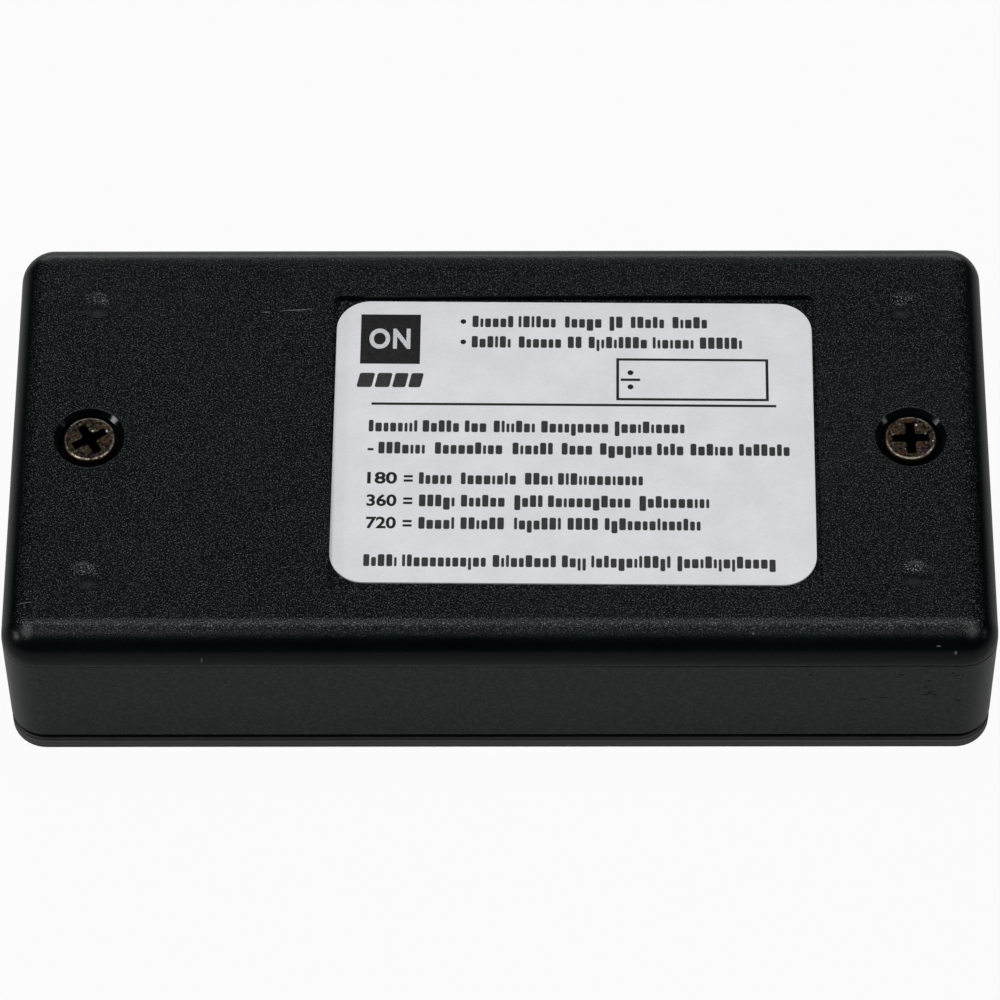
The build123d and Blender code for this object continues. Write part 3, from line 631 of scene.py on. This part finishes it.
def make_finishes():
    """A material for each of the model's material slots."""
    return {
        "case_plastic": grained_plastic("case_black"),
        "label_film": label_film("label_white"),
        "label_ink": ink("ink_black", (0.0035, 0.0035, 0.004), specular=0.35),
        "screw_steel": screw_steel("screw_bronze"),
        "clear_window": clear_plastic("window_clear", (0.02, 0.022, 0.022), rough=0.05, body=0.14),
        "adhesive": plastic("adhesive_black", (0.02, 0.02, 0.022), rough=0.5),
        "display_frame": plastic("frame_black", (0.02, 0.02, 0.022), rough=0.5),
        "display_glass": clear_plastic("cell_glass", (0.1, 0.12, 0.1), rough=0.05, body=0.06),
        "display_film": plastic("polariser", (0.21, 0.235, 0.18), rough=0.3, relief=0.002, spread=0.04),
        "reflector_film": plastic("reflector", (0.42, 0.46, 0.38), rough=0.4, grain=0.1, relief=0.003,
                                  spread=0.04),
        "zebra_rubber": plastic("zebra", (0.3, 0.05, 0.05), rough=0.6),
        "board_laminate": plastic("board_green", (0.015, 0.12, 0.04), rough=0.35, grain=0.5, spread=0.2),
        "small_screw_steel": metal("zinc_screw", (0.6, 0.6, 0.62)),
        "button_rubber": plastic("button_black", (0.012, 0.012, 0.013), rough=0.5, grain=0.25,
                                 relief=0.03),
        "switch_plastic": plastic("switch_black", (0.02, 0.02, 0.02), rough=0.4),
        "plated_metal": metal("tin_plate", (0.72, 0.7, 0.66), rough=0.25),
        "spring_steel": metal("spring", (0.62, 0.6, 0.56), rough=0.2),
        "holder_plastic": plastic("holder_black", (0.025, 0.025, 0.027), rough=0.5),
        "cell_steel": metal("cell_can", (0.7, 0.7, 0.69), rough=0.25, lines=(1.0, 12.0, 1.0)),
        "bobbin_plastic": plastic("bobbin", (0.6, 0.57, 0.48)),
        "copper_wire": metal("copper", (0.72, 0.3, 0.14), lines=(1.0, 30.0, 30.0), grain=0.2,
                             relief=0.04),
        "ferrite": plastic("ferrite_grey", (0.045, 0.045, 0.05), rough=0.6, grain=0.12, relief=0.02),
        "chip_plastic": plastic("chip_black", (0.022, 0.022, 0.024), rough=0.55, grain=0.1),
        "capacitor_can": metal("aluminium", (0.75, 0.76, 0.77), lines=(1.0, 1.0, 14.0)),
        "chip_ceramic": plastic("ceramic", (0.35, 0.25, 0.16), rough=0.5, grain=0.15),
    }


def dress_nodes():
    finishes = make_finishes()
    cover = rim_plastic("cover_black")
    for node_name, node in nodes.items():
        for slot in node.material_slots:
            slot_name = slot.material.name.split(".")[0]
            slot.material = cover if node_name == "front_cover" else finishes[slot_name]


def flatten_dome():
    """A copy of the switch's snap dome, carried by the case, takes the place of the hidden original."""
    dome = nodes["snap_dome"]
    mesh = dome.data.copy()
    mesh.transform(dome.matrix_world)
    mesh.name = "pressed_dome"
    piece = bpy.data.objects.new("pressed_dome", mesh)
    scene.collection.objects.link(piece)
    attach(piece, CASE)
    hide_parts("snap_dome")
    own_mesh(piece)


# Print on the label, in millimetres from the label's middle
label_low, label_high = box_mm("instruction_label")
LABEL_X = (label_low[0] + label_high[0]) / 2
LABEL_Y = (label_low[1] + label_high[1]) / 2
LABEL_TURN = math.radians(-0.53)
FONT_SIZE = 2.0
INK = 0.02
ON_LABEL = label_high[2] + INK / 2
ON_BADGE = label_high[2] + INK * 1.5

# Lines of words: the height of a line's base, and where each of its words starts and ends
CAPITAL_HEIGHT = 1.42
SMALL_HEIGHT = 1.08
TAIL_DEPTH = 0.38
TEXT_LINES = (
    (14.0, ((-10.5, -6.3), (-5.75, -1.5), (-0.95, 3.1), (3.65, 5.25), (5.85, 9.6), (10.15, 13.7))),
    (11.45, ((-10.55, -6.3), (-5.7, -1.2), (-0.65, 0.95), (1.5, 7.5), (8.1, 12.3), (12.95, 17.5))),
    (0.98, ((-20.9, -15.95), (-15.4, -11.65), (-11.1, -8.7), (-8.15, -3.95), (-3.3, 3.65), (4.2, 11.3))),
    (-1.7, ((-19.85, -14.8), (-14.1, -6.95), (-6.2, -1.85), (-1.2, 2.0), (2.7, 7.95), (8.5, 11.25),
            (11.9, 16.2), (16.85, 22.35))),
    (-5.37, ((-15.65, -12.0), (-11.4, -5.55), (-4.9, -2.1), (-1.55, 7.05))),
    (-8.07, ((-15.6, -12.0), (-11.35, -6.55), (-5.95, -3.1), (-2.55, 6.1), (6.7, 13.9))),
    (-10.77, ((-15.6, -12.0), (-11.35, -6.55), (-5.95, -1.1), (-0.55, 2.55), (3.2, 12.85))),
    (-15.25, ((-21.05, -17.7), (-17.15, -8.75), (-8.05, -1.7), (-1.1, 1.3), (1.85, 9.8), (10.5, 20.7))),
)

# The plain blocks that stand for the letters of a word. Each draws a random number: up to TALL_UP_TO it is
# tall, and from there to TAIL_UP_TO it has a tail. It is at least BLOCK_LEAST_RADII corner radii wide.
WORD_SEED = 7
BLOCK_WIDTHS = (0.6, 0.66, 0.62, 0.3, 0.48)
BLOCK_GAP = 0.19
BLOCK_LEAST = 0.25
BLOCK_RADIUS = 0.16
BLOCK_LEAST_RADII = 2.1
CORNER_POINTS = 4
TALL_UP_TO = 0.25
TAIL_UP_TO = 0.33

# The slanting word under the badge, as one block for each of its letters
SLANT_BLOCKS = ((-22.3, -20.75), (-20.45, -18.95), (-18.65, -17.3), (-17.0, -15.75))
SLANT_BASE = 6.45
SLANT_TOP = 8.2
SLANT_RADIUS = 0.2
SLANT = 0.2

# Numbers, the equals signs behind them and the other signs
NUMBER_LINES = ((-5.37, "180"), (-8.07, "360"), (-10.77, "720"))
NUMBER_LEFT = -20.9
NUMBER_RIGHT = -17.88
NUMBER_WEIGHT = 0.055
ONE_KERNING = -0.3
EQUALS_LEFT = -17.2
EQUALS_RIGHT = -16.28
EQUALS_BARS = (0.26, 0.78)
EQUALS_BAR_HEIGHT = 0.27
SIGN_RADIUS = 0.05
BULLETS = ((-11.45, 14.68), (-11.42, 12.13))
BULLET_RADIUS = 0.29
DASH = (-20.95, -20.35, -1.32, -1.06)
DIVIDE_BAR = (4.8, 6.8, 7.4, 7.69)
DIVIDE_DOTS = ((5.8, 8.42), (5.8, 6.67))
DIVIDE_DOT_RADIUS = 0.3
DISC_POINTS = 20

# The badge's letters, with the left and right of each
BADGE_LETTERS = (("O", -21.1, -18.97), ("N", -18.66, -16.87))
BADGE_LETTER_BASE = 11.2
BADGE_LETTER_TOP = 13.72
BADGE_WEIGHT = 0.07


def add_print(name, data, material, level, fit=None):
    """Turns flat curve data into a mesh in its place on the label, stretched to the box fit if it has one."""
    loose = bpy.data.objects.new(name + "_outline", data)
    scene.collection.objects.link(loose)
    bpy.context.view_layer.update()
    mesh = bpy.data.meshes.new_from_object(loose)
    bpy.data.objects.remove(loose)
    if fit:
        x0, x1, y0, y1 = fit
        xs = [v.co.x for v in mesh.vertices]
        ys = [v.co.y for v in mesh.vertices]
        wide = (x1 - x0) / (max(xs) - min(xs))
        high = (y1 - y0) / (max(ys) - min(ys))
        mesh.transform(Matrix.Translation((x0, y0, 0.0)) @ Matrix.Diagonal((wide, high, 1.0, 1.0))
                       @ Matrix.Translation((-min(xs), -min(ys), 0.0)))
    mesh.transform(Matrix.Scale(MM, 4) @ Matrix.Translation((LABEL_X, LABEL_Y, level))
                   @ Matrix.Rotation(LABEL_TURN, 4, "Z"))
    mesh.materials.clear()
    mesh.materials.append(material)
    mesh.name = name
    piece = bpy.data.objects.new(name, mesh)
    scene.collection.objects.link(piece)
    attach(piece, CASE)


def print_shapes(name, shapes, material):
    """One film of ink made of closed outlines."""
    data = bpy.data.curves.new(name, "CURVE")
    data.dimensions = "2D"
    data.fill_mode = "BOTH"
    data.extrude = INK / 2
    for shape in shapes:
        line = data.splines.new("POLY")
        line.points.add(len(shape) - 1)
        for point, (x, y) in zip(line.points, shape):
            point.co = (x, y, 0.0, 1.0)
        line.use_cyclic_u = True
    add_print(name, data, material, ON_LABEL)


def print_letters(name, text, box, material, weight, level):
    """A film of ink in the shape of a number or a letter, with its edges moved out by the weight."""
    data = bpy.data.curves.new(name, "FONT")
    data.body = text
    data.size = FONT_SIZE
    data.offset = weight
    if text.startswith("1"):
        data.body_format[0].kerning = ONE_KERNING
    data.extrude = INK / 2
    add_print(name, data, material, level, box)


def block(x0, x1, y0, y1, radius=BLOCK_RADIUS, lean=0.0):
    """A rounded block, leaning to the right by its share of the height."""
    radius = min(radius, (x1 - x0) / BLOCK_LEAST_RADII, (y1 - y0) / BLOCK_LEAST_RADII)
    points = []
    for corner, (x, y) in enumerate(((x1, y1), (x0, y1), (x0, y0), (x1, y0))):
        for step in range(CORNER_POINTS):
            angle = math.radians(90 * corner + 90 / (CORNER_POINTS - 1) * step)
            cx = x - radius if corner in (0, 3) else x + radius
            cy = y - radius if corner in (0, 1) else y + radius
            px = cx + radius * math.cos(angle)
            py = cy + radius * math.sin(angle)
            points.append((px + lean * (py - y0), py))
    return points


def disc(x, y, radius):
    angles = [2 * math.pi * i / DISC_POINTS for i in range(DISC_POINTS)]
    return [(x + radius * math.cos(angle), y + radius * math.sin(angle)) for angle in angles]


def word_blocks(draw, base, start, end):
    """A word as a row of plain blocks, some tall and some with a tail."""
    shapes = []
    x = start
    while x < end - BLOCK_LEAST:
        width = min(draw.choice(BLOCK_WIDTHS), end - x)
        kind = draw.random()
        tall = x == start or kind < TALL_UP_TO
        tail = TALL_UP_TO <= kind < TAIL_UP_TO
        top = base + (CAPITAL_HEIGHT if tall else SMALL_HEIGHT)
        shapes.append(block(x, x + width, base - TAIL_DEPTH * tail, top))
        x += width + BLOCK_GAP
    return shapes


def word_shapes():
    draw = random.Random(WORD_SEED)
    shapes = []
    for base, line in TEXT_LINES:
        for start, end in line:
            shapes += word_blocks(draw, base, start, end)
    return shapes + [block(left, right, SLANT_BASE, SLANT_TOP, SLANT_RADIUS, SLANT)
                     for left, right in SLANT_BLOCKS]


def sign_shapes():
    shapes = [disc(x, y, BULLET_RADIUS) for x, y in BULLETS]
    shapes += [block(*DASH, SIGN_RADIUS), block(*DIVIDE_BAR, SIGN_RADIUS)]
    shapes += [disc(x, y, DIVIDE_DOT_RADIUS) for x, y in DIVIDE_DOTS]
    for base, _ in NUMBER_LINES:
        shapes += [block(EQUALS_LEFT, EQUALS_RIGHT, base + bar, base + bar + EQUALS_BAR_HEIGHT, SIGN_RADIUS)
                   for bar in EQUALS_BARS]
    return shapes


def make_print():
    black = nodes["label_print"].material_slots[0].material
    grey = ink("ink_grey", (0.02, 0.02, 0.022))
    white = ink("ink_white", (0.6, 0.61, 0.63))
    print_shapes("print_words", word_shapes(), grey)
    print_shapes("print_signs", sign_shapes(), black)
    for base, number in NUMBER_LINES:
        box = (NUMBER_LEFT, NUMBER_RIGHT, base, base + CAPITAL_HEIGHT)
        print_letters("print_" + number, number, box, black, NUMBER_WEIGHT, ON_LABEL)
    for letter, left, right in BADGE_LETTERS:
        box = (left, right, BADGE_LETTER_BASE, BADGE_LETTER_TOP)
        print_letters("print_" + letter.lower(), letter, box, white, BADGE_WEIGHT, ON_BADGE)


# The stage's floor: its place and half size in metres, its tones, and how far in millimetres to the
# object's left and right it darkens
FLOOR_HALF = 6.0
FLOOR_Z = -0.00001
FLOOR_CLOUD = dict(size=60.0, detail=2.0)
FLOOR_GREY = (0.48, 0.48, 0.48)
FLOOR_PALE = (0.52, 0.52, 0.52)
FLOOR_DARK = (0.06, 0.06, 0.06)
FLOOR_DARKENS = (90.0, 200.0)
FLOOR_ROUGH = 0.9
FLOOR_SEEN_WHITE = 0.95
FLOOR_MIRRORED_WHITE = 0.05

# The world: its colour and strength as a light, and as the background that the camera sees
WORLD_LIGHT = ((0.9, 0.95, 1.0, 1.0), 0.01)
WORLD_SEEN = ((1.0, 1.0, 1.0, 1.0), 1.0)

# Lamps that face the object: name, place and size in metres, and the brightness they show
LAMP_AIM = Vector((0.0, 0.0, 0.0))
LAMPS = (
    ("overhead", (0.0, 0.195, 1.0), (1.6, 0.17), 3.2),
    ("key_left", (-0.75, -0.45, 1.4), (0.9, 0.9), 3.3),
    ("key_right", (0.75, -0.45, 1.4), (0.9, 0.9), 2.8),
    ("low_left", (-1.2, -0.32, 0.47), (0.34, 0.16), 14.0),
    ("low_right", (1.2, -0.2, 0.42), (0.22, 0.16), 3.5),
    ("back_horizon", (0.0, 1.6, 0.26), (1.8, 0.5), 1.9),
    ("back_high", (0.0, 1.6, 1.1), (1.8, 1.1), 0.35),
    ("under", (0.0, 0.0, -0.16), (0.085, 0.04), 16.0),
)


def floor_material():
    look = Look("floor_white")
    pale = look.mix(look.noise(**FLOOR_CLOUD), FLOOR_GREY, FLOOR_PALE)
    beside = look.ranged(look.math("ABSOLUTE", look.split(look.mm)[0]), *FLOOR_DARKENS)
    look.set(Base_Color=look.mix(beside, pale, FLOOR_DARK), Roughness=FLOOR_ROUGH, Specular_IOR_Level=0.0)
    white = look.add("ShaderNodeEmission")
    look.feed(white.inputs["Color"], (1.0, 1.0, 1.0, 1.0))
    path = look.add("ShaderNodeLightPath").outputs
    mirrored = look.math("MAXIMUM", path["Is Glossy Ray"], path["Is Transmission Ray"])
    share = look.math("MAXIMUM", look.times(path["Is Camera Ray"], FLOOR_SEEN_WHITE),
                      look.times(mirrored, FLOOR_MIRRORED_WHITE))
    both = look.add("ShaderNodeMixShader")
    look.feed(both.inputs[0], share)
    look.feed(both.inputs[1], look.shader.outputs[0])
    look.feed(both.inputs[2], white.outputs[0])
    # The floor can't be seen from below, and lets the lamp under it light the front of the meter.
    behind = look.times(look.add("ShaderNodeNewGeometry").outputs["Backfacing"], path["Is Camera Ray"])
    clear = look.add("ShaderNodeBsdfTransparent")
    open_floor = look.add("ShaderNodeMixShader")
    look.feed(open_floor.inputs[0], look.math("MAXIMUM", behind, path["Is Shadow Ray"]))
    look.feed(open_floor.inputs[1], both.outputs[0])
    look.feed(open_floor.inputs[2], clear.outputs[0])
    look.feed(look.tree.nodes["Material Output"].inputs["Surface"], open_floor.outputs[0])
    return look.material


def make_floor():
    mesh = bpy.data.meshes.new("floor")
    corners = [(x * FLOOR_HALF, y * FLOOR_HALF, FLOOR_Z) for x, y in ((-1, -1), (1, -1), (1, 1), (-1, 1))]
    mesh.from_pydata(corners, [], [(0, 1, 2, 3)])
    floor = bpy.data.objects.new("floor", mesh)
    scene.collection.objects.link(floor)
    mesh.materials.append(floor_material())


def make_world():
    world = scene.world or bpy.data.worlds.new("world")
    scene.world = world
    world.use_nodes = True
    tree = world.node_tree
    tree.nodes.clear()
    path = tree.nodes.new("ShaderNodeLightPath")
    both = tree.nodes.new("ShaderNodeMixShader")
    tree.links.new(path.outputs["Is Camera Ray"], both.inputs[0])
    for into, (colour, strength) in zip(both.inputs[1:], (WORLD_LIGHT, WORLD_SEEN)):
        shade = tree.nodes.new("ShaderNodeBackground")
        shade.inputs["Color"].default_value = colour
        shade.inputs["Strength"].default_value = strength
        tree.links.new(shade.outputs[0], into)
    out = tree.nodes.new("ShaderNodeOutputWorld")
    tree.links.new(both.outputs[0], out.inputs["Surface"])


def make_lamp(name, place, size, brightness):
    """A rectangle lamp that faces the object and shows as the given brightness."""
    data = bpy.data.lights.new(name, "AREA")
    data.shape = "RECTANGLE"
    width, depth = size
    data.size = width
    data.size_y = depth
    data.energy = brightness * math.pi * width * depth
    lamp = bpy.data.objects.new(name, data)
    lamp.location = place
    lamp.rotation_mode = "QUATERNION"
    lamp.rotation_quaternion = (LAMP_AIM - Vector(place)).to_track_quat("-Z", "Y")
    scene.collection.objects.link(lamp)


make_camera()
dress_nodes()
flatten_dome()
make_print()
make_floor()
make_world()
for lamp in LAMPS:
    make_lamp(*lamp)
